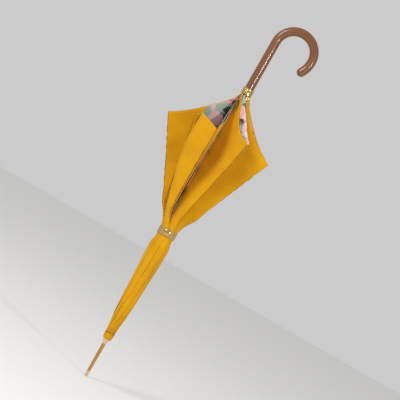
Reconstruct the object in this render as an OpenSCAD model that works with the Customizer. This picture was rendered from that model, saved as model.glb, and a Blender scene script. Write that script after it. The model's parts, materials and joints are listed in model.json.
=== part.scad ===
// Walking umbrella with a crook handle, furled and strapped, tip down.
// The origin is the end of the ferrule, +Z runs up the shaft and the crook opens towards +X.
// Every length is in millimetres.

/* [Shaft and ferrule] */
// Diameter of the wooden shaft
shaft_d = 12; // [10:0.5:14]
// Height of the whole ferrule, from its end to the cap
ferrule_len = 80; // [50:1:120]
// Diameter of the ferrule's end band
tip_band_d = 7.2; // [6:0.1:8]
// Length of the ferrule's end band
tip_band_len = 12; // [8:1:20]
// Diameter of the ferrule where it meets the cap
ferrule_top_d = 8.5; // [7.5:0.1:10]
// Length of the cap over the middle of the cloth
cap_len = 12; // [8:1:20]
// Diameter of the cap's wide end
cap_wide_d = 15; // [13.5:0.5:18]

/* [Frame] */
// Straight distance from a rib's hinge to its end
rib_chord = 609; // [480:1:700]
// Diameter of the round rib wire
rib_d = 2.4; // [1.8:0.1:2.8]
// How far a rib bows outwards at its middle
rib_bow = 9; // [5:0.5:12]
// Angle that the ribs swing through as the umbrella opens
open_angle = 70; // [50:1:75]
// Distance of the rib hinges from the shaft's surface
hinge_off_shaft = 1.5; // [1.4:0.1:3]
// Distance along a rib from its end to the rivet that joins its stretcher
joiner_from_end = 378; // [340:1:420]
// Length of a stretcher between its two pivots
stretcher_len = 310; // [250:1:330]
// Diameter of the stretcher wire
stretcher_d = 2; // [1.6:0.1:2.4]
// Length of the metal ends on the ribs
tip_cap_len = 14; // [8:1:20]

/* [Runner] */
// Wall of the runner tube
runner_wall = 1.1; // [0.8:0.1:1.2]
// Length of the runner's tube
runner_len = 50; // [30:1:60]
// Height of the slotted crown on the runner
crown_len = 12; // [8:1:16]
// Width of the slit that clears the catches
slit_w = 3.2; // [2.6:0.1:4]

/* [Handle] */
// Diameter of the handle's wood
handle_d = 20.4; // [16:0.2:26]
// Straight length of the handle above the collar's rim
handle_straight = 119.5; // [70:0.5:160]
// Radius of the crook's centre line
crook_r = 45; // [32:1:60]
// Angle that the crook's nose curls on past the half turn
nose_curl = 32; // [10:1:40]
// Radius of the centre line of that last stretch
nose_ring_r = 58; // [46:1:70]
// Outer diameter of the metal collar
collar_d = 25.5; // [23:0.5:30]
// Length of the metal collar
collar_len = 15; // [12:0.5:30]

/* [Cloth] */
// Diameter of the furled cloth under the strap
furled_d = 40.4; // [38:0.2:50]
// Width of the strap
strap_w = 18; // [12:1:25]
// Thickness of the strap
strap_t = 1.5; // [1:0.1:2.5]
// Height of the middle of the strap
strap_z = 361; // [300:1:420]
// Diameter of the strap's button
button_d = 16; // [10:0.5:18]
// Thickness of a loose fold of the double cloth
fold_t = 4; // [2:0.5:5]

/* [Hidden] */
$fn = 48;

// The frame has eight ribs 45 degrees apart, the first near the front (-Y)
RIBS = 8;
STEP = 360 / RIBS;
FIRST_TURN = -102;
function rib_turn(k) = FIRST_TURN + STEP * (k - 1);

// Clearances
RUN_GAP = 0.06;      // radial, between the runner's bore and the shaft
PIN_GAP = 0.06;      // radial, between a pin and the eye that turns on it
SIDE_GAP = 0.2;      // each side, between a moving blade and its slot
CLOTH_GAP = 0.8;     // between the frame and the cloth
PANEL_GAP = 2.4;     // degrees left between neighbouring panels

// Small fixed sizes of the frame
PIN_R = 0.45;        // notch pins and joiner rivets
EYE_R = 1.3;         // round end of a rib in the notch
BLADE_T = 1.4;       // flat ends of ribs and stretchers
EAR_T = 1.2;         // ear on a rib
EAR_R = 1.5;         // round end of that ear
EAR_IN = 3.4;        // from the rib's wire to the rivet
CHEEK_T = 0.8;       // each cheek of a stretcher's fork
CHEEK_R = 1.6;
BLADE_LEN = 9;       // flat part of a rib at the notch
SLIMMING = 0.05;     // the crook's wood loses this much radius at each stretch of its nose
socket_depth = 24;   // the shaft's end in the handle

// Heights along the shaft
cap_z = ferrule_len;
notch_floor = 2.6;
notch_z = cap_z + cap_len + 0.9;
hinge_z = notch_z + notch_floor + EYE_R + 1.2;
tip_z = hinge_z + rib_chord;
joiner_height = rib_chord - joiner_from_end;
collar_z = tip_z + 2.2;
rim_z = collar_z + collar_len;
crook_z = rim_z + handle_straight;
handle_seat_z = collar_z + 3;

shaft_r = shaft_d / 2;
hinge_r = shaft_r + hinge_off_shaft;

// A rib's centre line follows an arc from its hinge to its end, in straight lengths
tip_r = hinge_r + 1.8;
bow_radius = (pow(rib_chord / 2, 2) + pow(rib_bow, 2)) / (2 * rib_bow);
function rib_r(a) = hinge_r + (tip_r - hinge_r) * a / rib_chord
    + sqrt(pow(bow_radius, 2) - pow(a - rib_chord / 2, 2)) - (bow_radius - rib_bow);
KNEES = concat([BLADE_LEN - 2],
    [for (i = [1:3]) joiner_height * i / 3],
    [for (i = [1:5]) joiner_height + (rib_chord - joiner_height) * i / 5]);
KNEE_SWELL = 0.1;    // a knee is this much thicker than the wire
function knee(i) = [rib_r(KNEES[i]), 0, hinge_z + KNEES[i]];

// The joiner rivet and the crown pivot, with the umbrella closed and open
joint_r = rib_r(joiner_height) - EAR_IN;
joint_z = hinge_z + joiner_height;
tube_r = shaft_r + RUN_GAP + runner_wall;
crown_pivot_r = tube_r + 1.64;
closed_z = joint_z + sqrt(pow(stretcher_len, 2) - pow(joint_r - crown_pivot_r, 2));
open_joint_r = hinge_r + (joint_r - hinge_r) * cos(open_angle) + joiner_height * sin(open_angle);
open_joint_z = hinge_z + joiner_height * cos(open_angle) - (joint_r - hinge_r) * sin(open_angle);
open_z = open_joint_z + sqrt(pow(stretcher_len, 2) - pow(open_joint_r - crown_pivot_r, 2));
runner_travel = closed_z - open_z;
stretcher_lean = atan((joint_r - crown_pivot_r) / (closed_z - joint_z));

// The runner: its crown is at the pivots and its tube runs on towards the handle
crown_out_r = crown_pivot_r + 1.3;
tube_z = closed_z - crown_len / 2;

// The catches stand in pockets in the shaft, in line with the runner's slit
CATCH_TURN = FIRST_TURN + STEP / 2;
catch_w = slit_w - 1;
catch_len = 12;
catch_proud = 1.6;
pocket_w = catch_w + 2 * SIDE_GAP;
pocket_floor = 1.4;
pocket_len = 26;
lower_catch_z = tube_z + runner_len - 16;
upper_catch_z = open_z - crown_len / 2 + runner_len + catch_len / 2 + 1;

// Furled cloth: the radius of its outside at heights measured from the hinges,
// as shares of the height from the hinges to the strap
strap_low = strap_z - strap_w / 2;
strap_high = strap_z + strap_w / 2;
furled_r = furled_d / 2;
swell = 4;
cloth_top = strap_high + 6;
cloth_low = hinge_z + 6;
cloth_span = strap_low - cloth_low;
cloth_slim = 12;
function share_z(s) = cloth_low + cloth_span * s;
BUNDLE = [
    [cloth_slim, cloth_low],
    [cloth_slim + 2, share_z(0.12)],
    [furled_r - 2.4, share_z(0.35)],
    [furled_r + swell * 0.4, share_z(0.6)],
    [furled_r + swell, share_z(0.93)],
    [furled_r, strap_low - 1],
    [furled_r, strap_high + 1],
    [furled_r + 1.5, cloth_top]
];
function inner_r(z) = rib_r(z - hinge_z) + rib_d / 2 + CLOTH_GAP;

// Above the strap each panel of cloth hangs in one loose fold, swept round by FOLD_TURN
// degrees from the rib that the panel starts at, and its corner reaches out this far
FOLD_TURN = 99.5;
FOLD_REACH = [127, 118, 112, 118, 133, 80, 96, 99];
corner_drop = 108;
collar_side_r = tip_r + 4.4;
fold_foot_r = rib_r(rib_chord / 2) + rib_d / 2 + CLOTH_GAP;

// ---- colours ----
WOOD = "#8f4f27";
GOLD = "#d0ad62";
STEEL = "#c9c9c4";
YELLOW = "#e9a914";
BEIGE = "#c9aa72";

// ---- helpers ----
// Turns children drawn in the XZ plane to stand at one rib
module at_rib(k) {
    rotate([0, 0, rib_turn(k)]) children();
}

// A disc standing across the rib, centred at radius r and height z
module cross_disc(r, z, radius, thick) {
    translate([r, 0, z])
        rotate([90, 0, 0])
            cylinder(r = radius, h = thick, center = true);
}

// A flat bar along Z with its inner end at radius r
module upright_bar(r, width, thick, z, height) {
    translate([r - width / 2, -thick / 2, z])
        cube([width, thick, height]);
}

// ---- ferrule and cap ----
module ferrule_tip() {
    color(STEEL)
        cylinder(d = tip_band_d, h = tip_band_len);
}

module ferrule() {
    spigot_h = 18;
    color(GOLD)
        difference() {
            translate([0, 0, tip_band_len])
                cylinder(d1 = tip_band_d, d2 = ferrule_top_d, h = ferrule_len - tip_band_len);
            translate([0, 0, ferrule_len - spigot_h])
                cylinder(d = shaft_d / 2, h = spigot_h + 1);
        }
}

module top_cap() {
    color(GOLD)
        difference() {
            translate([0, 0, cap_z])
                cylinder(d1 = ferrule_top_d, d2 = cap_wide_d, h = cap_len);
            translate([0, 0, cap_z - 1])
                cylinder(d = shaft_d / 2, h = cap_len + 2);
        }
}

// ---- shaft ----
module catch_pocket(z) {
    rotate([0, 0, CATCH_TURN])
        translate([pocket_floor, -pocket_w / 2, z - pocket_len / 2])
            cube([shaft_d, pocket_w, pocket_len]);
}

module shaft() {
    spigot_z = ferrule_len - 18;
    color(WOOD)
        difference() {
            union() {
                translate([0, 0, spigot_z])
                    cylinder(d = shaft_d / 2, h = cap_z + cap_len - spigot_z + 1);
                translate([0, 0, cap_z + cap_len])
                    cylinder(d = shaft_d, h = handle_seat_z + socket_depth - cap_z - cap_len);
            }
            catch_pocket(lower_catch_z);
            catch_pocket(upper_catch_z);
        }
}

// ---- notch: the slotted ring that the ribs hinge in ----
notch_r = hinge_r + 1.9;
module notch_pins() {
    pin_len = BLADE_T + 2 * SIDE_GAP + 2.2;
    color(STEEL)
        for (k = [1:RIBS])
            at_rib(k) cross_disc(hinge_r, hinge_z, PIN_R, pin_len);
}

module notch() {
    slot_w = BLADE_T + 2 * SIDE_GAP;
    slot_z = notch_z + notch_floor;
    color(GOLD)
        difference() {
            translate([0, 0, notch_z])
                cylinder(r = notch_r, h = hinge_z - notch_z + 3.6);
            translate([0, 0, notch_z - 1])
                cylinder(d = shaft_d, h = 20);
            for (k = [1:RIBS])
                at_rib(k)
                    translate([0, -slot_w / 2, slot_z])
                        cube([notch_r + 2, slot_w, 20]);
            for (k = [1:RIBS])
                at_rib(k) cross_disc(hinge_r, hinge_z, PIN_R, slot_w + 2.2);
        }
}

// ---- ribs ----
// A rib's wire is bent in straight lengths, which meet at knees on its arc
module bar_between(p, q, diameter) {
    run = q - p;
    translate(p)
        rotate([0, atan2(run[0], run[2]), 0])
            cylinder(d = diameter, h = norm(run));
}

module rib_wire() {
    for (i = [1:len(KNEES) - 1])
        bar_between(knee(i - 1), knee(i), rib_d);
    for (i = [1:len(KNEES) - 2])
        translate(knee(i))
            sphere(d = rib_d + KNEE_SWELL);
}

module rib(k) {
    color(STEEL)
        at_rib(k)
            difference() {
                union() {
                    cross_disc(hinge_r, hinge_z, EYE_R, BLADE_T);
                    upright_bar(hinge_r + 0.1, 2, BLADE_T, hinge_z, BLADE_LEN);
                    rib_wire();
                    cross_disc(joint_r, joint_z, EAR_R, EAR_T);
                    translate([joint_r, -EAR_T / 2, joint_z - EAR_R])
                        cube([EAR_IN, EAR_T, 2 * EAR_R]);
                }
                cross_disc(hinge_r, hinge_z, PIN_R + PIN_GAP, BLADE_T + 2);
                cross_disc(joint_r, joint_z, PIN_R, EAR_T + 2);
            }
}

// The metal end on a rib, which the hem's corner is sewn to
module rib_tip(k) {
    cap_d = rib_d + 1.4;
    end = knee(len(KNEES) - 1);
    last_knee = knee(len(KNEES) - 2);
    back = (last_knee - end) / norm(last_knee - end);
    color(GOLD)
        at_rib(k)
            difference() {
                union() {
                    bar_between(end + tip_cap_len * back, end, cap_d);
                    translate(end)
                        sphere(d = cap_d, $fn = 32);
                }
                bar_between(last_knee, end, rib_d);
            }
}

module rivet(k) {
    color(GOLD)
        at_rib(k)
            cross_disc(joint_r, joint_z, PIN_R, EAR_T + 2 * SIDE_GAP + 2 * CHEEK_T + 0.6);
}

// ---- stretchers: a fork at the rib's rivet and a flat eye in the runner's crown ----
module stretcher(k) {
    fork_t = EAR_T + 2 * SIDE_GAP + 2 * CHEEK_T;
    fork_gap = EAR_T + 2 * SIDE_GAP;
    web_from = EAR_R + 0.9;
    web_len = 3;
    wire_from = web_from + 1;
    eye_blade = 8;
    color(STEEL)
        at_rib(k)
            translate([joint_r, 0, joint_z])
                rotate([0, -stretcher_lean, 0])
                    difference() {
                        union() {
                            cross_disc(0, 0, CHEEK_R, fork_t);
                            upright_bar(0, 2 * CHEEK_R, fork_t, 0, web_from + web_len);
                            translate([0, 0, wire_from])
                                cylinder(d = stretcher_d, h = stretcher_len - wire_from - eye_blade);
                            upright_bar(0, 1.8, BLADE_T, stretcher_len - eye_blade - 1, eye_blade + 1);
                            cross_disc(0, stretcher_len, 1.1, BLADE_T);
                        }
                        translate([-CHEEK_R - 1, -fork_gap / 2, -CHEEK_R - 1])
                            cube([2 * CHEEK_R + 2, fork_gap, CHEEK_R + 1 + web_from]);
                        cross_disc(0, 0, PIN_R + PIN_GAP, fork_t + 2);
                    }
}

// ---- runner ----
module runner() {
    slot_w = BLADE_T + 5 * SIDE_GAP;
    color(GOLD)
        difference() {
            union() {
                translate([0, 0, tube_z])
                    cylinder(r = tube_r, h = runner_len);
                translate([0, 0, tube_z])
                    cylinder(r = crown_out_r, h = crown_len);
                translate([0, 0, tube_z + runner_len - 4])
                    cylinder(r = tube_r + 0.6, h = 3);
            }
            translate([0, 0, tube_z - 1])
                cylinder(r = shaft_r + RUN_GAP, h = runner_len + 2);
            for (k = [1:RIBS])
                at_rib(k)
                    translate([tube_r, -slot_w / 2, tube_z - 1])
                        cube([crown_out_r, slot_w, crown_len + 2]);
            rotate([0, 0, CATCH_TURN])
                translate([0, -slit_w / 2, tube_z - 1])
                    cube([crown_out_r + 2, slit_w, runner_len + 2]);
        }
}

// ---- catches: sprung noses that stop the runner ----
module catch_nose(z) {
    depth = shaft_r + catch_proud - pocket_floor - 2.6;
    rotate([0, 0, CATCH_TURN])
        translate([pocket_floor + 2.6, catch_w / 2, z])
            rotate([90, 0, 0])
                linear_extrude(catch_w)
                    polygon([
                        [0, -catch_len / 2],
                        [depth, -catch_len / 2 + 3],
                        [depth, catch_len / 2 - 5],
                        [0, catch_len / 2]
                    ]);
}

module upper_catch() {
    color(STEEL) catch_nose(upper_catch_z);
}

module lower_catch() {
    color(STEEL) catch_nose(lower_catch_z);
}

// ---- handle ----
module handle_collar() {
    lip = 1.6;
    color(GOLD)
        difference() {
            union() {
                translate([0, 0, collar_z])
                    cylinder(d = collar_d, h = collar_len);
                translate([0, 0, rim_z - lip])
                    cylinder(d = collar_d + 1, h = lip);
            }
            translate([0, 0, collar_z - 1])
                cylinder(d = shaft_d, h = collar_len + 2);
            translate([0, 0, handle_seat_z])
                cylinder(d = handle_d, h = collar_len + 2);
        }
}

// A round bar ending in half a ball, standing on its flat end
module round_nose(radius, straight) {
    rotate_extrude()
        union() {
            square([radius, straight]);
            translate([0, straight])
                intersection() {
                    circle(r = radius);
                    square(radius);
                }
        }
}

// Part of a ring of round bar in the XZ plane, from the X axis round towards +Z
module bar_arc(centre_x, ring_r, radius, start, sweep) {
    translate([centre_x, 0, crook_z])
        rotate([90, 0, 0])
            rotate([0, 0, start])
                rotate_extrude(angle = sweep, $fn = 64)
                    translate([ring_r, 0])
                        circle(r = radius);
}

module crook_handle() {
    wood_r = handle_d / 2;
    nose_x = 2 * crook_r - nose_ring_r;
    end_x = nose_x + nose_ring_r * cos(nose_curl);
    end_z = crook_z - nose_ring_r * sin(nose_curl);
    color(WOOD)
        difference() {
            union() {
                translate([0, 0, handle_seat_z])
                    cylinder(r = wood_r, h = crook_z - handle_seat_z);
                bar_arc(crook_r, crook_r, wood_r, 0, 180);
                bar_arc(nose_x, nose_ring_r, wood_r - SLIMMING, -nose_curl, nose_curl);
                translate([end_x, 0, end_z])
                    rotate([0, 180 + nose_curl, 0])
                        round_nose(wood_r - 2 * SLIMMING, 2);
            }
            translate([0, 0, handle_seat_z - 1])
                cylinder(d = shaft_d, h = socket_depth + 1);
        }
}

// ---- strap ----
module strap() {
    color(BEIGE)
        difference() {
            translate([0, 0, strap_low])
                cylinder(r = furled_r + 0.3 + strap_t, h = strap_w);
            translate([0, 0, strap_low - 1])
                cylinder(r = furled_r + 0.3, h = strap_w + 2);
        }
}

module strap_button() {
    seat = furled_r + 0.3 + strap_t;
    foot = 1.9;
    color(GOLD)
        difference() {
            translate([0, -seat + foot, strap_z])
                rotate([90, 0, 0])
                    cylinder(d1 = button_d, d2 = button_d - 4, h = foot + 2.4);
            translate([0, 0, strap_low - 1])
                cylinder(r = seat, h = strap_w + 2);
        }
}

// ---- cloth: one closed solid for each of the eight double panels ----
module panel(k) {
    reach = FOLD_REACH[k - 1];
    turn = rib_turn(k) + FOLD_TURN;
    inside = [for (i = [len(BUNDLE) - 1 : -1 : 0])
        [min(inner_r(BUNDLE[i][1]), BUNDLE[i][0] - 0.8), BUNDLE[i][1]]];
    color(YELLOW)
        union() {
            rotate([0, 0, turn - (STEP - PANEL_GAP) / 2])
                rotate_extrude(angle = STEP - PANEL_GAP, $fn = 96)
                    polygon(concat(BUNDLE, inside));
            rotate([0, 0, turn])
                translate([0, fold_t / 2, 0])
                    rotate([90, 0, 0])
                        linear_extrude(fold_t)
                            polygon([
                                [fold_foot_r, strap_high + 2],
                                [furled_r + 1, strap_high + 2],
                                [furled_r + 4, strap_high + 14],
                                [reach, tip_z - corner_drop],
                                [reach * 0.45, tip_z - corner_drop * 0.42],
                                [collar_side_r, tip_z - 6],
                                [fold_foot_r, tip_z - corner_drop]
                            ]);
        }
}

ferrule_tip();
ferrule();
top_cap();
notch();
notch_pins();
shaft();
crook_handle();
handle_collar();
runner();
upper_catch();
lower_catch();
strap();
strap_button();
for (k = [1:RIBS]) {
    rib(k);
    rib_tip(k);
    rivet(k);
    stretcher(k);
    panel(k);
}
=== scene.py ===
"""A furled walking umbrella with a crook handle, in double cloth: plain yellow outside, printed lining."""
import json
import math

import bpy
import numpy as np
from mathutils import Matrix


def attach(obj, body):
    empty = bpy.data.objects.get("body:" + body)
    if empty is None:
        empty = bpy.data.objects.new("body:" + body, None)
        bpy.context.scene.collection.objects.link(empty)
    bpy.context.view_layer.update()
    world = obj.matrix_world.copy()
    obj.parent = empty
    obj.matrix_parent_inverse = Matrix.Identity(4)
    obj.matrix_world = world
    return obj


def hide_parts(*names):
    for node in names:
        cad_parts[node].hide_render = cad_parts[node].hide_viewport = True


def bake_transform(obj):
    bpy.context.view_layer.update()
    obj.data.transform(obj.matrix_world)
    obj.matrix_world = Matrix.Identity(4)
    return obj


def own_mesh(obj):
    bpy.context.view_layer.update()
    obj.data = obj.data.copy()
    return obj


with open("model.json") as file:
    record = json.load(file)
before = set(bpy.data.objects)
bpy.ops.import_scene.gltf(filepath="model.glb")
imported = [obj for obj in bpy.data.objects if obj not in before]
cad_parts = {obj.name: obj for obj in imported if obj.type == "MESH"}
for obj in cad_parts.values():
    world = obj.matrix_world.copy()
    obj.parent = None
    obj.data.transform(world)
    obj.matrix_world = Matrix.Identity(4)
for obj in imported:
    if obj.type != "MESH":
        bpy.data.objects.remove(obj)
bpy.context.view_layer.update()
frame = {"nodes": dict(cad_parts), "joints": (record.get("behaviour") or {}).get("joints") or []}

MM = 0.001

# ---- sizes, in millimetres, as the frame has them ----
HINGE_R = 7.5
HINGE_Z = 98.0
RIB_CHORD = 609.0
RIB_BOW = 9.0
RIB_END_R = 9.3
RIB_D = 2.4
CLOTH_CLEAR = 0.3
RIBS = 8
FIRST_TURN = -102.0
STEP = 360.0 / RIBS
STRAP_Z = 361.0
STRAP_W = 18.0
STRAP_R = 21.0
COLLAR_Z = 709.2
COLLAR_LEN = 15.0
COLLAR_R = 12.75
HANDLE_R = 10.2
HANDLE_Z = 712.2
CROOK_Z = 843.7
CROOK_R = 45.0
NOSE_RING_R = 58.0
NOSE_CURL = math.radians(32)
JOINTS = {joint["name"]: joint for joint in frame["joints"]}

# ---- camera: level, and tilted about its own axis so that the umbrella leans ----
LEAN = math.radians(29.7)
FRAME_WIDTH = 0.880
CAMERA_AWAY = 3.0
AIM = (0.027, 0.0, 0.459)


def add_camera():
    data = bpy.data.cameras.new("camera")
    data.sensor_width = 36
    data.lens = data.sensor_width * CAMERA_AWAY / FRAME_WIDTH
    camera = bpy.data.objects.new("camera", data)
    bpy.context.scene.collection.objects.link(camera)
    camera.location = (AIM[0], AIM[1] - CAMERA_AWAY, AIM[2])
    camera.rotation_euler = (math.pi / 2, -LEAN, 0)
    bpy.context.scene.camera = camera


add_camera()

# ---- materials ----
# The wave texture's phase in radians, one metre along at a scale of one
WAVE_PHASE = 20.0


def linear(colour):
    """The linear RGBA of an sRGB hex value."""
    channels = [int(colour[i:i + 2], 16) / 255 for i in (1, 3, 5)]
    return [c / 12.92 if c <= 0.04045 else ((c + 0.055) / 1.055) ** 2.4 for c in channels] + [1.0]


def add(material, kind, inputs=None, stops=None, **settings):
    """Adds a shader node with its settings and its colour stops, and links or sets its inputs."""
    node = material.node_tree.nodes.new(kind)
    for name, value in settings.items():
        setattr(node, name, value)
    for name, value in (inputs or {}).items():
        if isinstance(value, bpy.types.NodeSocket):
            material.node_tree.links.new(value, node.inputs[name])
        else:
            node.inputs[name].default_value = value
    if stops:
        ends = node.color_ramp.elements[0], node.color_ramp.elements[1]
        for end, (place, colour) in zip(ends, (stops[0], stops[-1])):
            end.position = place
            end.color = linear(colour)
        for place, colour in stops[1:-1]:
            node.color_ramp.elements.new(place).color = linear(colour)
    return node


def finish_material(name, **values):
    """A material and its surface shader, whose constant inputs are given by name."""
    material = bpy.data.materials.new(name)
    material.use_nodes = True
    shader = material.node_tree.nodes["Principled BSDF"]
    for key, value in values.items():
        shader.inputs[key.replace("_", " ")].default_value = value
    return material, shader


def dress(material, shader, colour=None, relief=None, strength=0.0, depth=0.0):
    """Gives a surface its colour and its relief, whose depth is in metres."""
    if colour is not None:
        material.node_tree.links.new(colour, shader.inputs["Base Color"])
    if relief is not None:
        raised = add(material, "ShaderNodeBump", {"Height": relief, "Strength": strength, "Distance": depth})
        material.node_tree.links.new(raised.outputs["Normal"], shader.inputs["Normal"])


def metal(name, colour, roughness, brushed=0.0):
    """Plated metal: bright and coloured. Where it is brushed, a fine grain softens its highlight."""
    material, shader = finish_material(name, Metallic=1.0, Roughness=roughness, Base_Color=linear(colour))
    if brushed:
        grains_per_metre = 900.0
        place = add(material, "ShaderNodeTexCoord").outputs["Object"]
        fine = {"Vector": place, "Scale": grains_per_metre, "Detail": 3.0}
        grain = add(material, "ShaderNodeTexNoise", fine)
        dress(material, shader, relief=grain.outputs["Fac"], strength=brushed, depth=0.0002)
    return material


def woven(name, colour, shade, spacing, relief, roughness=0.85, sheen=0.05):
    """Plain-woven cloth: dry and matt, with cloudy tone and crossing ridges that are spacing metres apart.

    Real threads are a fraction of a millimetre apart and wouldn't show, so the ridges are drawn coarser.
    """
    material, shader = finish_material(
        name, Roughness=roughness, Sheen_Weight=sheen, Sheen_Roughness=0.5, Specular_IOR_Level=0.2)
    clouds_per_metre = 14.0
    place = add(material, "ShaderNodeUVMap", uv_map="cloth").outputs["UV"]
    cloud = add(material, "ShaderNodeTexNoise", {"Vector": place, "Scale": clouds_per_metre, "Detail": 5.0})
    tone = add(material, "ShaderNodeValToRGB", {0: cloud.outputs["Fac"]}, [(0.3, shade), (0.7, colour)])
    wave = {"Vector": place, "Scale": 2 * math.pi / (spacing * WAVE_PHASE)}
    warp = add(material, "ShaderNodeTexWave", wave, bands_direction="X")
    weft = add(material, "ShaderNodeTexWave", wave, bands_direction="Y")
    crossing = {0: warp.outputs["Fac"], 1: weft.outputs["Fac"]}
    threads = add(material, "ShaderNodeMath", crossing, operation="ADD")
    dress(material, shader, tone.outputs["Color"], threads.outputs[0], relief, 0.0003)
    return material


def varnished_wood(name, tones, coat, grain=(260.0, 260.0, 9.0), uv=None):
    """Turned wood under varnish: long fibres run up the piece, and the clear coat gives a sharp highlight.

    grain is how many fibres lie in a metre along each axis, and tones run from dark to light.
    """
    material, shader = finish_material(name, Roughness=0.42, Coat_Weight=coat, Coat_Roughness=0.06)
    if uv:
        place = add(material, "ShaderNodeUVMap", uv_map=uv).outputs["UV"]
    else:
        place = add(material, "ShaderNodeTexCoord").outputs["Object"]
    stretch = add(material, "ShaderNodeMapping", {"Vector": place, "Scale": grain}).outputs[0]
    fibre = add(material, "ShaderNodeTexNoise",
                {"Vector": stretch, "Scale": 1.0, "Detail": 8.0, "Roughness": 0.6, "Distortion": 0.4})
    stops = list(zip((0.3, 0.5, 0.72), tones))
    tone = add(material, "ShaderNodeValToRGB", {0: fibre.outputs["Fac"]}, stops)
    dress(material, shader, tone.outputs["Color"], fibre.outputs["Fac"], 0.12, 0.0004)
    return material


def printed_lining():
    """Printed satin: a soft gloss, with blossoms, leaves and dark buds on a sage ground."""
    material, shader = finish_material("printed_satin", Roughness=0.55, Sheen_Weight=0.15)
    place = add(material, "ShaderNodeUVMap", uv_map="cloth").outputs["UV"]
    # the outlines wander by up to 18 mm, so that no motif is a plain cell
    wander = add(material, "ShaderNodeTexNoise", {"Vector": place, "Scale": 55.0, "Detail": 2.0})
    shift = add(material, "ShaderNodeVectorMath", operation="SCALE",
                inputs={0: wander.outputs["Color"], "Scale": 0.018})
    wandered = {0: place, 1: shift.outputs[0]}
    petals = add(material, "ShaderNodeVectorMath", wandered, operation="ADD").outputs[0]
    ground = add(material, "ShaderNodeRGB")
    ground.outputs[0].default_value = linear("#9DB0A0")
    colour = ground.outputs[0]
    # motifs in a metre, offset of the motif, its radius as a share of its cell, and its tints:
    # leaves 33 mm apart, blossoms 42 mm apart with their hearts, and buds 26 mm apart
    layers = [
        (30.0, 0.0, 0.42, [(0.0, "#2E5548"), (0.5, "#1F3B33"), (1.0, "#587A68")]),
        (24.0, 3.1, 0.52, [(0.0, "#D9746A"), (0.45, "#E8D5D8"), (1.0, "#C65B58")]),
        (24.0, 3.1, 0.24, [(0.0, "#F3E6DF"), (0.5, "#D98A80"), (1.0, "#F0DDC8")]),
        (38.0, 7.7, 0.30, [(0.0, "#17406B"), (0.5, "#7E1020"), (1.0, "#E7DCE0")]),
    ]
    for per_metre, offset, radius, tints in layers:
        moved = add(material, "ShaderNodeVectorMath", {0: petals, 1: (offset, offset, 0)}, operation="ADD")
        cells = add(material, "ShaderNodeTexVoronoi", {"Vector": moved.outputs[0], "Scale": per_metre})
        tint = add(material, "ShaderNodeValToRGB", {0: cells.outputs["Color"]}, tints)
        near = {0: cells.outputs["Distance"], 1: radius}
        inside = add(material, "ShaderNodeMath", near, operation="LESS_THAN")
        layered = {"Factor": inside.outputs[0], 6: colour, 7: tint.outputs["Color"]}
        colour = add(material, "ShaderNodeMix", layered, data_type="RGBA").outputs[2]
    dress(material, shader, colour)
    return material


# Close, dry umbrella cloth: matt, with hardly a shine along its folds. Its ridges are drawn 6.9 mm apart.
PONGEE_RIDGES = 2 * math.pi * 0.0011
YELLOW_CLOTH = woven("yellow_pongee", "#DCA000", "#C48800", PONGEE_RIDGES, 0.25)
LINING = printed_lining()
# Heavier ribbon, a little smoother than the cloth, with deeper ridges, drawn 8.8 mm apart
RIBBON_RIDGES = 2 * math.pi * 0.0014
STRAP_CLOTH = woven("gold_ribbed_ribbon", "#B4955E", "#957640", RIBBON_RIDGES, 0.7, roughness=0.6)
# Bent wood under varnish: warm brown, with fibres 2.4 mm wide that follow the crook
HANDLE_TONES = ("#4A2204", "#74400A", "#925A16")
HANDLE_WOOD = varnished_wood("varnished_chestnut", HANDLE_TONES, 0.5, (420.0, 7.0, 1.0), "grain")
# The stick's redder wood, with a little more gloss
SHAFT_WOOD = varnished_wood("stained_beech", ("#4A1E0E", "#6E3018", "#8A4626"), 0.6)
# The ferrule's honey-brown wood, as glossy as the handle
FERRULE_WOOD = varnished_wood("waxed_horn_brown", ("#8A5A1C", "#A8722A", "#C08A3C"), 0.5)
# Satin plating spreads its highlight, and polished plating mirrors the lamps
PALE_GOLD = metal("satin_pale_gold_plate", "#E4D0A4", 0.34, 0.1)
GOLD = metal("polished_gold_plate", "#CDA96A", 0.15)
TIP_GOLD = metal("brushed_gold_plate", "#E2C795", 0.28, 0.1)
# Grey and bright, as plated wire is
STEEL = metal("nickel_plated_steel", "#B9B7B2", 0.3, 0.1)

# ---- meshes ----


def new_object(name, points, faces, materials, indices=None):
    """A smooth object from points in millimetres."""
    mesh = bpy.data.meshes.new(name)
    faces = faces if isinstance(faces, list) else faces.tolist()
    mesh.from_pydata((np.asarray(points, float) * MM).tolist(), [], faces)
    for material in materials:
        mesh.materials.append(material)
    if indices is not None:
        mesh.polygons.foreach_set("material_index", np.asarray(indices, np.int32))
    mesh.polygons.foreach_set("use_smooth", np.ones(len(mesh.polygons), bool))
    mesh.update()
    piece = bpy.data.objects.new(name, mesh)
    bpy.context.scene.collection.objects.link(piece)
    return piece


def give_uv(piece, name, per_point):
    """A UV map, in metres, from one pair in millimetres for each point."""
    layer = piece.data.uv_layers.new(name=name)
    corners = np.empty(len(piece.data.loops), np.int64)
    piece.data.loops.foreach_get("vertex_index", corners)
    layer.data.foreach_set("uv", (np.asarray(per_point) * MM)[corners].astype(np.float32).ravel())


def grid_faces(rows, columns, start=0, closed=False, turned_over=False):
    """Quads of a grid of points, whose columns may close on themselves."""
    r = np.arange(rows - 1)[:, None]
    c = np.arange(columns if closed else columns - 1)[None, :]
    after = (c + 1) % columns
    low, high = r * columns, (r + 1) * columns
    quads = np.stack([low + c, low + after, high + after, high + c], -1).reshape(-1, 4) + start
    return quads[:, ::-1] if turned_over else quads


def rod_faces(rows, columns):
    """Faces of a round rod: its wall, and a cap at each end."""
    faces = grid_faces(rows, columns, closed=True).tolist()
    faces.append(list(range(columns))[::-1])
    faces.append(list(range((rows - 1) * columns, rows * columns)))
    return faces


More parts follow.
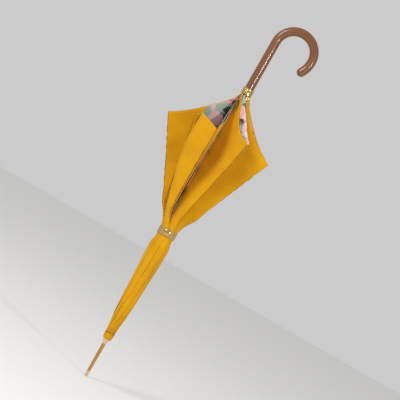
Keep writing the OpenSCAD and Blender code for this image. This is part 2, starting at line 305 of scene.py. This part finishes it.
def band_faces(rows, columns):
    """Faces of a closed band: its section closes on itself, and so does its length."""
    start = np.arange(columns)
    end = (rows - 1) * columns + start
    closing = np.stack([end, np.roll(end, -1), np.roll(start, -1), start], -1)
    return np.concatenate([grid_faces(rows, columns, closed=True), closing])


def band_uv(section_heights, lengths):
    """Millimetres round a band, and up it, for each of its points."""
    shape = (len(section_heights), len(lengths))
    around = np.broadcast_to(lengths, shape)
    up = np.array(section_heights)[:, None] * np.ones((1, shape[1]))
    return np.stack([around, up], -1).reshape(-1, 2)


def circle(radius, height, angles):
    """Points of a level circle about the shaft."""
    return np.stack([radius * np.cos(angles), radius * np.sin(angles), np.full(angles.shape, height)], -1)


def lathe(name, profile, material, turns=64, relief=None):
    """A solid of revolution about Z through (radius, height) points, closed at both ends."""
    profile = np.asarray(profile, float)
    angles = np.linspace(0, 2 * math.pi, turns, endpoint=False)[None, :]
    radius = profile[:, :1] * np.ones_like(angles)
    height = profile[:, 1:] * np.ones_like(angles)
    if relief is not None:
        radius = radius + relief(angles, height) * (profile[:, :1] > 0)
    points = np.stack([radius * np.cos(angles), radius * np.sin(angles), height], -1).reshape(-1, 3)
    return new_object(name, points, rod_faces(len(profile), turns), [material])


# ---- the cloth, in millimetres ----
UP = np.array([0, 0, 1.0])
HALF_STEP = math.radians(STEP) / 2

# The cut: how far the hem passes the rib's end, how deep its scallop is between two ribs as a share of the
# length, how far the open cloth sags, half the cloth's thickness, and how far the lining hangs below
HEM_PAST_RIB = 2
PANEL_LENGTH = RIB_CHORD + HEM_PAST_RIB
SCALLOP = 0.108
SAG = 12.0
SHELL = 0.35
LINING_DROP = 3.0
# The cloth starts this share of its length from the hinge
CLOTH_FROM = 0.012

# The folds: how far from the axis the folded edge of each panel's fold reaches at the hem
REACH = {1: 118, 2: 116, 3: 110, 4: 116, 5: 132, 6: 82, 7: 92, 8: 98}
HEM_REACH_Z = 612.0
REACH_AT_STRAP = 20.0
REACH_FROM_Z = 372
# The radius of the furled bundle at some heights, tight under the strap
BUNDLE_Z = [92, 100, 127, 181, 246, 288, 335, 350, 372, 388]
BUNDLE_R = [8, 11.2, 13.5, 17.5, 21, 23.4, 24.4, 20.3, 20.3, 23.0]
# Where the bundle is as slim as this, its folds lie flat
SLIM_BUNDLE_R = 8
# The wound folds' edges climb round the bundle by these degrees at these heights
EDGE_Z = [100, 200, 352]
EDGE_DEGREES = [52, 68, 86]
# The cloth is wound below the first of these heights, and fanned out above the second
FAN_Z = (364, 428)
FAN_SIDE = 0.96
FAN_OUT = 0.2
# Millimetres between the layers of a fold, where it is wound and where it is fanned out
WOUND_LAYER = 0.6
FANNED_LAYER = 2.6
WOUND_SKIN = 0.8
# How far a wound fold rises towards its edge, and how far the edge itself is pressed down again
ROOT_DROP = 4
EDGE_PRESS = 1.5
# The wound cloth's outward distance is never less than this share of its radius
NEAREST_SHARE = 0.12
SOLVE_STEPS = 32
RIPPLE = 2.4

# How much of the hidden inner fold is left at the hem, for the area that each panel is cut to
INNER_FOLD_AT_HEM = {1: 0.5, 2: 0.72, 3: 0.8, 4: 0.72, 5: 0.48, 6: 1.0, 7: 0.66, 8: 1.0}
INNER_FOLD_DEPTHS = (330, 500)
# How far along its fold the hidden one goes back, and the edge of the cloth's last layer
DEEPEST_TUCK = 0.93
BACK_EDGE = 0.985
# The lining follows the outer cloth up to the first of these depths, this many layers below it
LINING_FREE_DEPTHS = (262, 330)
LINING_LAYERS_UNDER = 0.8
LINING_PLEATS = {1: 3, 2: 3, 3: 3, 4: 3, 5: 3, 6: 4, 7: 4, 8: 4}
PLEAT_DEPTH = 22.0
# How much shorter the front layer's hem is, on the two folds whose mouths show their lining and on the rest
HEM_DIP = {7: 6.0, 8: 9.0}
USUAL_HEM_DIP = 1.0
# Distances along the rib from which the print shows: at the mouth, and on the back of a fold's first layer
MOUTH_FROM = 500.0
BACK_FROM = 350.0
# The fold that stands open as a tube, and how far its front swells
TUBE_PANEL = 7
TUBE_SWELL = 46
# Points along and across each sheet
OUTER_GRID = (84, 81)
LINING_GRID = (72, 121)


def smooth(x, low, high):
    t = np.clip((x - low) / (high - low), 0, 1)
    return t * t * (3 - 2 * t)


def rib_radius(a):
    """How far a rib's centre line is from the axis, a millimetres along its chord."""
    t = a / RIB_CHORD
    return HINGE_R + (RIB_END_R - HINGE_R) * t + 4 * RIB_BOW * t * (1 - t)


def outwards(turn):
    return np.array([math.cos(turn), math.sin(turn), 0])


def sideways(turn):
    return np.array([-math.sin(turn), math.cos(turn), 0])


def rib_turn(k):
    """The direction of a rib about the shaft."""
    return math.radians(FIRST_TURN + STEP * (k - 1))


def turned(points, axis, centre, angle):
    """Points turned about an axis through a centre, each by its own angle."""
    n = np.asarray(axis, float) / np.linalg.norm(axis)
    arm = points - centre
    c = np.cos(angle)[..., None]
    s = np.sin(angle)[..., None]
    return centre + arm * c + np.cross(n, arm) * s + n * (arm @ n)[..., None] * (1 - c)


def fold_cloth(k, path, grid, under=0.0, dip=0.0, bulge=None):
    """One panel's cloth, as a grid of points.

    It gives the furled points, their blend weights, the open points, the panel's outward direction, the
    distance along the rib, the share v of the width, and the share of the way out to the fold's edge.
    The cloth is set out open, then each of its points is carried back by its rib, and turned about the
    panel's hinge as far as takes it to its place along the path of folds. path gives, over the share v of
    the width, how far out the cloth is and how high it lies in the stack. under is its depth below the
    outer cloth, and dip is how much shorter the first layer's hem is than the last one's.
    """
    rows, columns = grid
    swing = JOINTS[f"rib_{k}_swing"]
    unfold = JOINTS[f"panel_{k}_unfold"]
    first = rib_turn(k)
    last = first + 2 * HALF_STEP
    middle = first + HALF_STEP
    open_angle = math.radians(swing["range_deg"][1])
    unfold_angle = math.radians(unfold["range_deg"][1])
    hinge_axis = np.array(unfold["axis"])
    hinge_centre = np.array(unfold["pos_m"]) / MM
    out, side = outwards(middle), sideways(middle)
    s = np.linspace(CLOTH_FROM, 1, rows)[:, None] * np.ones((1, columns))
    v = np.ones((rows, 1)) * np.linspace(0, 1, columns)[None, :]
    crest = 4 * v * (1 - v)

    # open: a line along each of the two ribs, and the cloth stretched between them
    along = s * PANEL_LENGTH * (1 - SCALLOP * (1 - np.abs(1 - 2 * v) ** 3))
    along = along - dip * s * smooth(v, 0, 0.1) * (1 - smooth(v, 0.14, 0.27))
    over_rib = rib_radius(along) + RIB_D / 2 + CLOTH_CLEAR
    opened = []
    for turn in (first, last):
        closed_line = over_rib[..., None] * outwards(turn) + (HINGE_Z + along)[..., None] * UP
        pivot = HINGE_R * outwards(turn) + HINGE_Z * UP
        opened.append(turned(closed_line, sideways(turn), pivot, np.full(s.shape, open_angle)))
    inwards = math.sin(open_angle) * UP - math.cos(open_angle) * out
    hung = (1 - v)[..., None] * opened[0] + v[..., None] * opened[1]
    depth = np.linalg.norm(hung - HINGE_Z * UP, axis=-1)
    hung = hung + (SAG * crest * smooth(depth, 10, 160) + under)[..., None] * inwards
    first_pivot = HINGE_R * outwards(first) + HINGE_Z * UP
    carried = turned(hung, sideways(first), first_pivot, np.full(s.shape, -open_angle))

    # furled: how far to the side and how far out each point has to lie
    z = HINGE_Z + depth * 0.995
    in_rib = rib_radius(np.clip(z - HINGE_Z, 0, RIB_CHORD)) + RIB_D / 2 + CLOTH_CLEAR - under
    up_fan = np.clip((z - REACH_FROM_Z) / (HEM_REACH_Z - REACH_FROM_Z), 0, 1.2)
    reach = REACH_AT_STRAP + (REACH[k] - REACH_AT_STRAP) * up_fan ** 1.05
    share, height = path(v, depth, reach)
    root = -HALF_STEP + 2 * HALF_STEP * v
    edge = np.radians(np.interp(z, EDGE_Z, EDGE_DEGREES))
    angle = root + (edge - root) * share
    outer = np.interp(z, BUNDLE_Z, BUNDLE_R) - WOUND_SKIN - WOUND_LAYER * under
    wound = in_rib + (outer - ROOT_DROP - in_rib) * smooth(share, 0, 0.3)
    wound = wound + ROOT_DROP * share * np.clip((outer - SLIM_BUNDLE_R) / SLIM_BUNDLE_R, 0, 1)
    wound = wound + height * WOUND_LAYER - EDGE_PRESS * smooth(share, 0.8, 1)
    fanned_side = in_rib * np.sin(root) + (reach * FAN_SIDE - in_rib * np.sin(root)) * share
    belly = np.sin(math.pi * np.clip(share, 0, 1)) ** 0.7
    fanned_out = in_rib * np.cos(root * (1 - share)) + reach * FAN_OUT * share
    fanned_out = fanned_out + height * FANNED_LAYER * belly
    fan = smooth(z, *FAN_Z)
    target = (1 - fan) * wound * np.sin(angle) + fan * fanned_side

    # the weight that turns each point to its sideways place, by halving
    low, high = np.zeros(s.shape), np.ones(s.shape)
    for _ in range(SOLVE_STEPS):
        weight = (low + high) / 2
        past = turned(carried, hinge_axis, hinge_centre, -weight * unfold_angle) @ side > target
        low, high = np.where(past, weight, low), np.where(past, high, weight)
    weight = (low + high) / 2
    weight[:, 0], weight[:, -1] = 0, 1
    rest = turned(carried, hinge_axis, hinge_centre, -weight * unfold_angle)
    reached = rest @ side
    wound_out = np.sqrt(np.maximum(wound ** 2 - reached ** 2, (NEAREST_SHARE * wound) ** 2))
    lift = (1 - fan) * wound_out + fan * fanned_out - rest @ out
    lift[:, [0, -1]] = 0
    wave = np.sin(7.5 * share + 1.9 * k + depth / 90) * np.sin(math.pi * share)
    lift = lift + RIPPLE * smooth(depth, 300, 520) * wave
    if bulge is not None:
        lift = lift + bulge(v, share, depth)
    rest = rest + lift[..., None] * out
    return rest, weight, hung, out, along, v, share


def outer_path(inner_fold):
    """The outer cloth goes to the fold's edge and back by a hidden fold, so four layers lie in the fold."""
    def path(v, depth, reach):
        fold = inner_fold(depth)
        turn_in = 1 / (2 + 2 * fold)
        turn_out = 1 - turn_in
        bottom = 1 - DEEPEST_TUCK * fold
        first_out = v / turn_in
        first_back = 1 - (v - turn_in) / (0.5 - turn_in) * (1 - bottom)
        last_out = bottom + (v - 0.5) / (turn_out - 0.5) * (BACK_EDGE - bottom)
        last_back = BACK_EDGE * (1 - v) / (1 - turn_out)
        share = np.where(
            v < turn_in, first_out, np.where(
                v < 0.5, first_back, np.where(
                    v < turn_out, last_out, last_back)))
        height = np.interp(v, [0, 0.3, 0.5, 0.7, 1], [1, 1, 0.2, -1, -1])
        return share, height
    return path


def lining_path(pleats, outer):
    """The lining lies in the outer cloth where that is wound. Above, it is partly pleated near the shaft."""
    def path(v, depth, reach):
        followed = np.interp(v, [0, 0.25, 0.5], [0, 0.72, 0.04])
        pleat = np.abs((np.clip(v - 0.5, 0, 0.5) * 2 * pleats + 0.5) % 1 - 0.5) * 2
        share = np.where(v < 0.5, followed, 0.04 + pleat * np.clip(PLEAT_DEPTH / reach, 0, 0.8))
        share = share * (1 - smooth(v, 0.97, 1))
        height = np.interp(v, [0, 0.4, 0.5, 1], [1.3, 1.3, -0.6, -1.0])
        outer_share, outer_height = outer(v, depth, reach)
        free = smooth(depth, *LINING_FREE_DEPTHS)
        tied_height = (outer_height - LINING_LAYERS_UNDER) * (1 - free)
        return outer_share * (1 - free) + share * free, tied_height + height * free
    return path


def cloth_piece(name, k, shape, materials, indices):
    """A closed thin shell of cloth, baked where it lies."""
    rest, weight, _, out, along, v, share = shape
    rows, columns = weight.shape
    upper = rest + SHELL * out
    lower = rest - SHELL * out
    points = np.concatenate([upper.reshape(-1, 3), lower.reshape(-1, 3)])
    count = rows * columns
    ring = np.concatenate([
        np.arange(columns), np.arange(1, rows) * columns + columns - 1,
        (rows - 1) * columns + np.arange(columns - 2, -1, -1), np.arange(rows - 2, 0, -1) * columns])
    after = np.roll(ring, -1)
    hem = np.stack([after, ring, ring + count, after + count], -1)
    faces = [grid_faces(rows, columns), grid_faces(rows, columns, count, turned_over=True), hem]
    upper_index, lower_index = indices(v, along, share)
    material_index = np.concatenate([
        upper_index[:-1, :-1].ravel(), lower_index[:-1, :-1].ravel(), np.zeros(len(hem), int)])
    piece = new_object(name, points, np.concatenate(faces), materials, material_index)
    # each panel's pattern starts 700 mm from the last one's, so that no two panels are printed alike
    width = (v - 0.5) * along * 2 * math.sin(HALF_STEP)
    across = np.stack([width + 700 * k, along], -1).reshape(-1, 2)
    give_uv(piece, "cloth", np.concatenate([across, across]))
    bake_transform(piece)
    return piece


def tube_bulge(v, share, depth):
    """The front fold stands open as a tube: its outer layer swells away from its inner one."""
    rise = smooth(depth, 250, 500)
    belly = smooth(share, 0.02, 0.5) * (1 - smooth(share, 0.62, 1.0))
    first_layer = np.arange(v.shape[1]) <= share.argmax(axis=1)[:, None]
    return TUBE_SWELL * rise * belly * first_layer


def add_panel(k):
    left = INNER_FOLD_AT_HEM[k]
    path = outer_path(lambda depth: 1 - (1 - left) * smooth(depth, *INNER_FOLD_DEPTHS))
    bulge = tube_bulge if k == TUBE_PANEL else None
    shape = fold_cloth(k, path, OUTER_GRID, dip=HEM_DIP.get(k, USUAL_HEM_DIP), bulge=bulge)

    def printed(v, along, share):
        """The print shows inside a fold: on its first layer's back, and on its last layer at the mouth."""
        mouth = (v > 0.62) & (along > MOUTH_FROM) & (k in HEM_DIP) & (share < 0.94)
        back = (v < 0.4) & (along > BACK_FROM) & (share < 0.93)
        return mouth.astype(int), back.astype(int)

    def plain(v, along, share):
        return np.zeros(v.shape, int), np.zeros(v.shape, int)

    outer = cloth_piece(f"outer_cloth_{k}", k, shape, [YELLOW_CLOTH, LINING], printed)
    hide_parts(f"panel_{k}")
    lining_shape = fold_cloth(k, lining_path(LINING_PLEATS[k], path), LINING_GRID, under=LINING_DROP)
    lining = cloth_piece(f"lining_{k}", k, lining_shape, [LINING], plain)


for panel in range(1, RIBS + 1):
    add_panel(panel)

# ---- the handle ----


def crook_line(count):
    """Points and directions along the handle's centre line, each one's distance along it, and its length."""
    straight = CROOK_Z - HANDLE_Z
    half_turn = math.pi * CROOK_R
    nose = NOSE_CURL * NOSE_RING_R
    total = straight + half_turn + nose
    centres, ways, lengths = [], [], []
    for t in np.linspace(0, total, count):
        if t < straight:
            centres.append((0, 0, HANDLE_Z + t))
            ways.append((0, 0, 1))
        elif t < straight + half_turn:
            a = (t - straight) / CROOK_R
            centres.append((CROOK_R - CROOK_R * math.cos(a), 0, CROOK_Z + CROOK_R * math.sin(a)))
            ways.append((math.sin(a), 0, math.cos(a)))
        else:
            a = (t - straight - half_turn) / NOSE_RING_R
            middle_x = 2 * CROOK_R - NOSE_RING_R
            centres.append((middle_x + NOSE_RING_R * math.cos(a), 0, CROOK_Z - NOSE_RING_R * math.sin(a)))
            ways.append((-math.sin(a), 0, -math.cos(a)))
        lengths.append(t)
    return np.array(centres), np.array(ways), np.array(lengths), total


def add_handle():
    """The bent handle: a round rod that thins by 0.1 mm to its nose, which is rounded over."""
    thinning = 0.1
    nose_rings = 14
    columns = 56
    centres, ways, lengths, total = crook_line(150)
    radii = HANDLE_R - thinning * lengths / total
    tip = radii[-1]
    round_off = np.linspace(0.08, 1, nose_rings)
    extra = np.sin(round_off * math.pi / 2) * tip
    centres = np.concatenate([centres, centres[-1] + extra[:, None] * ways[-1]])
    radii = np.concatenate([radii, np.maximum(tip * np.cos(round_off * math.pi / 2), 0.05)])
    lengths = np.concatenate([lengths, lengths[-1] + extra])
    ways = np.concatenate([ways, np.repeat(ways[-1:], len(extra), 0)])
    angles = np.linspace(0, 2 * math.pi, columns, endpoint=False)
    across = np.array([0, 1.0, 0])
    upright = np.cross(ways, across)
    rings = centres[:, None] + radii[:, None, None] * (
        np.cos(angles)[None, :, None] * across + np.sin(angles)[None, :, None] * upright[:, None])
    piece = new_object("crook", rings.reshape(-1, 3), rod_faces(len(centres), columns), [HANDLE_WOOD])
    # the grain folds back on itself half way round, so that it has no seam
    folded = np.abs(np.linspace(-1, 1, columns, endpoint=False)) * math.pi * HANDLE_R
    grain = np.stack(np.broadcast_arrays(folded[None, :], lengths[:, None]), -1).reshape(-1, 2)
    give_uv(piece, "grain", grain)
    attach(piece, "root")
    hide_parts("crook_handle")


add_handle()


def collar_relief(angle, z):
    """Engraved scrolls between two plain rims, as a shallow relief in millimetres."""
    t = (z - COLLAR_Z) / COLLAR_LEN
    band = smooth(t, 0.16, 0.24) * (1 - smooth(t, 0.76, 0.84))
    leaf = np.sin(9 * angle + 5.2 * np.sin(math.pi * t * 2)) * np.sin(math.pi * (t * 3.2 - 0.5))
    vein = np.sin(18 * angle - 9 * t)
    return band * (0.45 * np.tanh(2.6 * leaf) + 0.12 * vein - 0.25)


def add_collar():
    """The collar: a chamfered lower end, an engraved wall and a rolled rim round the handle."""
    chamfer = 0.6
    rim_from = 1.8
    top = COLLAR_Z + COLLAR_LEN
    heights = np.linspace(COLLAR_Z + chamfer, top - rim_from, 56)
    profile = [(COLLAR_R - 3.5, COLLAR_Z), (COLLAR_R - chamfer, COLLAR_Z), (COLLAR_R, COLLAR_Z + chamfer)]
    profile += [(COLLAR_R, h) for h in heights[1:]]
    profile += [(COLLAR_R + 0.3, top - 1.5), (COLLAR_R + 0.5, top - 1.0), (COLLAR_R + 0.4, top - 0.3),
                (COLLAR_R, top), (HANDLE_R + 0.1, top)]
    piece = lathe("engraved_collar", profile, GOLD, 288, collar_relief)
    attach(piece, "root")
    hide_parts("handle_collar")


add_collar()

# ---- the rosette of cloth that covers the crown of the frame ----
# Its section, as (radius, height): up the outside of the cloth, and back down the inside
ROSETTE_SECTION = [(7.2, 91.6), (8.4, 91.8), (9.8, 93.2), (10.4, 97.0), (11.1, 101.0), (11.8, 106.0),
                   (11.5, 106.2), (10.8, 101.0), (10.1, 97.0), (9.6, 93.9), (8.3, 92.3), (7.2, 92.1)]


def add_rosette():
    """A ring of cloth, drawn in by 16 small gathers that deepen upwards."""
    gathers = 16
    deepest = 0.16
    angles = np.linspace(0, 2 * math.pi, 96, endpoint=False)
    rings = []
    for radius, height in ROSETTE_SECTION:
        gathered = radius + deepest * (height - 92) / 15 * np.sin(gathers * angles + 0.12 * height)
        rings.append(circle(gathered, height, angles))
    faces = band_faces(len(rings), len(angles))
    piece = new_object("crown_rosette", np.concatenate(rings), faces, [YELLOW_CLOTH])
    give_uv(piece, "cloth", band_uv([height for _, height in ROSETTE_SECTION], angles * 10))
    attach(piece, "root")


add_rosette()

# ---- the strap and its button ----
RIBBON_THICK = 0.9
RIBBON_RIDGE = 1.1
RIDGE_FROM_EDGE = 0.8
BUTTON_R = 7.9
BUTTON_BACK = 21.6
BUTTON_FACE = 24.4
DOME_HIGH = 1.9
BUTTON_HIGH = 2.6


def add_strap():
    """The ribbon round the cloth: a flat band with a raised ridge along each edge."""
    angles = np.linspace(0, 2 * math.pi, 144, endpoint=False)
    inner_radius = STRAP_R - 0.5
    edge = STRAP_W / 2
    within = 2 * RIDGE_FROM_EDGE
    section = [(0, -edge), (RIBBON_THICK, -edge), (RIBBON_RIDGE, -edge + RIDGE_FROM_EDGE),
               (RIBBON_THICK, -edge + within), (1.0, 0), (RIBBON_THICK, edge - within),
               (RIBBON_RIDGE, edge - RIDGE_FROM_EDGE), (RIBBON_THICK, edge), (0, edge)]
    rings = [circle(inner_radius + off, STRAP_Z + rise, angles) for off, rise in section]
    faces = band_faces(len(section), len(angles))
    piece = new_object("strap_ribbon", np.concatenate(rings), faces, [STRAP_CLOTH])
    give_uv(piece, "cloth", band_uv([rise for _, rise in section], angles * STRAP_R))
    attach(piece, "rib_1")
    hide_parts("strap")
    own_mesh(piece)


add_strap()


def add_button():
    """A domed button with a rolled rim, whose flat back lies on the strap."""
    arc = np.linspace(0, math.pi / 2, 12)
    dome = [(BUTTON_R * math.cos(a), DOME_HIGH * math.sin(a)) for a in arc]
    profile = [(2.0, 0.0), (7.2, 0.1), (BUTTON_R, 0.5)]
    profile += [(r - 0.35, 0.7 + h) for r, h in dome[1:-1]]
    profile += [(0.05, BUTTON_HIGH)]
    piece = lathe("domed_button", profile, GOLD, 96)
    # it is turned to face the front, and its height is fitted between the strap and the button's face
    scale = (BUTTON_FACE - BUTTON_BACK) / BUTTON_HIGH
    for vertex in piece.data.vertices:
        x, y, z = vertex.co
        vertex.co = (x, -(BUTTON_BACK * MM + z * scale), y + STRAP_Z * MM)
    piece.data.update()
    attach(piece, "rib_1")
    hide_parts("strap_button")


add_button()

# ---- finishes of the pieces that keep the frame's own shape ----
NODE_FINISH = {
    "ferrule_tip": TIP_GOLD, "ferrule": FERRULE_WOOD, "top_cap": PALE_GOLD, "notch": STEEL,
    "notch_pins": STEEL, "shaft": SHAFT_WOOD, "runner": STEEL, "upper_catch": STEEL, "lower_catch": STEEL,
}
for rib in range(1, RIBS + 1):
    NODE_FINISH[f"rib_{rib}"] = STEEL
    NODE_FINISH[f"rib_tip_{rib}"] = TIP_GOLD
    NODE_FINISH[f"rivet_{rib}"] = TIP_GOLD
    NODE_FINISH[f"stretcher_{rib}"] = STEEL
for node_name, node_finish in NODE_FINISH.items():
    for slot in frame["nodes"][node_name].material_slots:
        slot.material = node_finish

# ---- studio, in metres and watts, but for the floor's half width in millimetres ----
FLOOR_HALF = 6000
WORLD_LIGHT = 0.62
LAMPS_AIM = (0, 0, 0.45)
# Name, place, width and power: a broad lamp from the left, and a small one from the right
LAMPS = (("key", (-1.9, -2.0, 2.4), 1.1, 50), ("strip", (1.5, -2.2, 1.0), 0.3, 22))


def add_studio():
    # matt emulsion paint: even and pale, with no highlight
    paper, _ = finish_material("pale_floor_paint", Roughness=0.9, Base_Color=linear("#F2F1EF"))
    corners = [(x * FLOOR_HALF, y * FLOOR_HALF, -1) for x, y in ((-1, -1), (1, -1), (1, 1), (-1, 1))]
    floor = new_object("floor", corners, [(0, 1, 2, 3)], [paper])
    world = bpy.data.worlds.new("studio")
    world.use_nodes = True
    world.node_tree.nodes["Background"].inputs[0].default_value = linear("#FBFBFB")
    world.node_tree.nodes["Background"].inputs[1].default_value = WORLD_LIGHT
    bpy.context.scene.world = world
    for name, place, size, power in LAMPS:
        data = bpy.data.lights.new(name, "AREA")
        data.size = size
        data.energy = power
        light = bpy.data.objects.new(name, data)
        bpy.context.scene.collection.objects.link(light)
        light.location = place
        way = np.array(LAMPS_AIM) - np.array(place)
        tilt = math.atan2(math.hypot(way[0], way[1]), -way[2])
        light.rotation_euler = (tilt, 0, math.atan2(way[1], way[0]) - math.pi / 2)


add_studio()
bpy.context.scene.view_settings.view_transform = "Standard"
